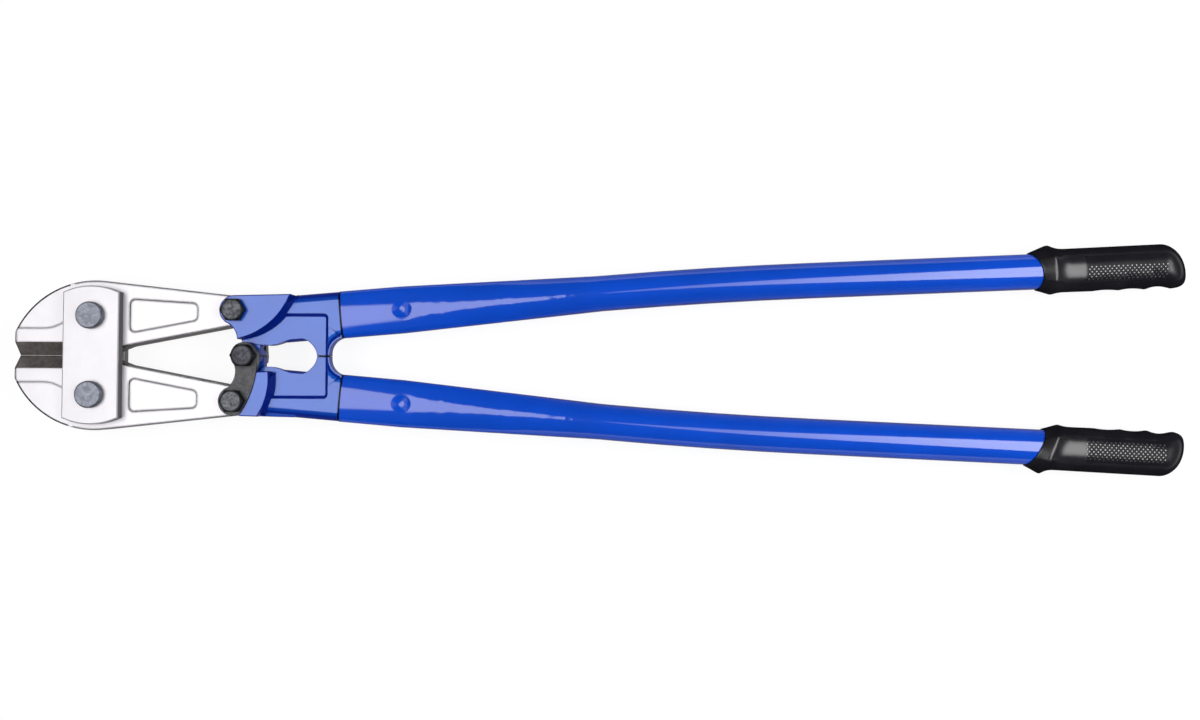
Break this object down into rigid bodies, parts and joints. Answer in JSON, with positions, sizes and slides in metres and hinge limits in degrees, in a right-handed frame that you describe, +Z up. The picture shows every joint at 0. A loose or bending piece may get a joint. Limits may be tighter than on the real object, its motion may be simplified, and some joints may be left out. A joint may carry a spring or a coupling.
{
  "type": "bolt cutters",
  "caption": "Long-handled bolt cutters: compound-lever jaws between side plates, toggle knuckles, bent tubular handles and moulded grips.",
  "frame": {"origin": "on the surface that the tool lies on, under the middle of its length and width, at the lower ends of the jaw bolts", "axes": "+X along the tool from the jaws to the grips, +Y towards the upper handle, +Z up from the surface, square to the plane in which the handles swing"},
  "size_m": [1.0495, 0.209, 0.0616],
  "materials": {
    "jaw_steel": "satin ground steel",
    "plate_steel": "satin plated steel",
    "bolt_steel": "dark oxide steel",
    "link_steel": "black oxide steel",
    "nut_steel": "dark oxide steel",
    "blue_paint": "gloss enamel",
    "grip_black": "glossy moulded vinyl"
  },
  "bodies": {
    "head_plates": {"front_plate": "plate_steel", "rear_plate": "plate_steel", "upper_jaw_bolt": "bolt_steel", "lower_jaw_bolt": "bolt_steel", "upper_jaw_washer": "nut_steel", "lower_jaw_washer": "nut_steel", "upper_jaw_nut": "nut_steel", "lower_jaw_nut": "nut_steel"},
    "upper_jaw": {"upper_jaw": "jaw_steel"},
    "lower_jaw": {"lower_jaw": "jaw_steel"},
    "upper_handle": {"upper_knuckle": "blue_paint", "rear_link": "link_steel", "upper_tail_bolt": "bolt_steel", "upper_tail_washer": "nut_steel", "upper_tail_nut": "nut_steel", "upper_tube": "blue_paint", "upper_grip": "grip_black"},
    "lower_handle": {"lower_knuckle": "blue_paint", "front_link": "link_steel", "lower_tail_bolt": "bolt_steel", "lower_tail_washer": "nut_steel", "lower_tail_nut": "nut_steel", "centre_bolt": "bolt_steel", "centre_washer": "nut_steel", "centre_nut": "nut_steel", "lower_tube": "blue_paint", "lower_grip": "grip_black"}
  },
  "joints": [
    {"name": "upper_jaw_pivot", "type": "hinge", "parent": "head_plates", "child": "upper_jaw", "pos_m": [-0.4535, 0.035, 0.0348], "axis": [0, 0, -1], "range_deg": [0, 7.6]},
    {"name": "lower_jaw_pivot", "type": "hinge", "parent": "head_plates", "child": "lower_jaw", "pos_m": [-0.4535, -0.035, 0.0348], "axis": [0, 0, 1], "range_deg": [0, 7.6]},
    {"name": "upper_handle_pivot", "type": "hinge", "parent": "upper_jaw", "child": "upper_handle", "pos_m": [-0.3279, 0.0404, 0.0348], "axis": [0, 0, 1], "range_deg": [0, 52.5]},
    {"name": "lower_handle_pivot", "type": "hinge", "parent": "lower_jaw", "child": "lower_handle", "pos_m": [-0.3279, -0.0404, 0.0348], "axis": [0, 0, -1], "range_deg": [0, 52.5]}
  ],
  "couplings": [
    {"joint": "upper_jaw_pivot", "follows": "upper_handle_pivot", "ratio": 0.144},
    {"joint": "lower_jaw_pivot", "follows": "upper_handle_pivot", "ratio": 0.144},
    {"joint": "lower_handle_pivot", "follows": "upper_handle_pivot", "ratio": 1}
  ]
}
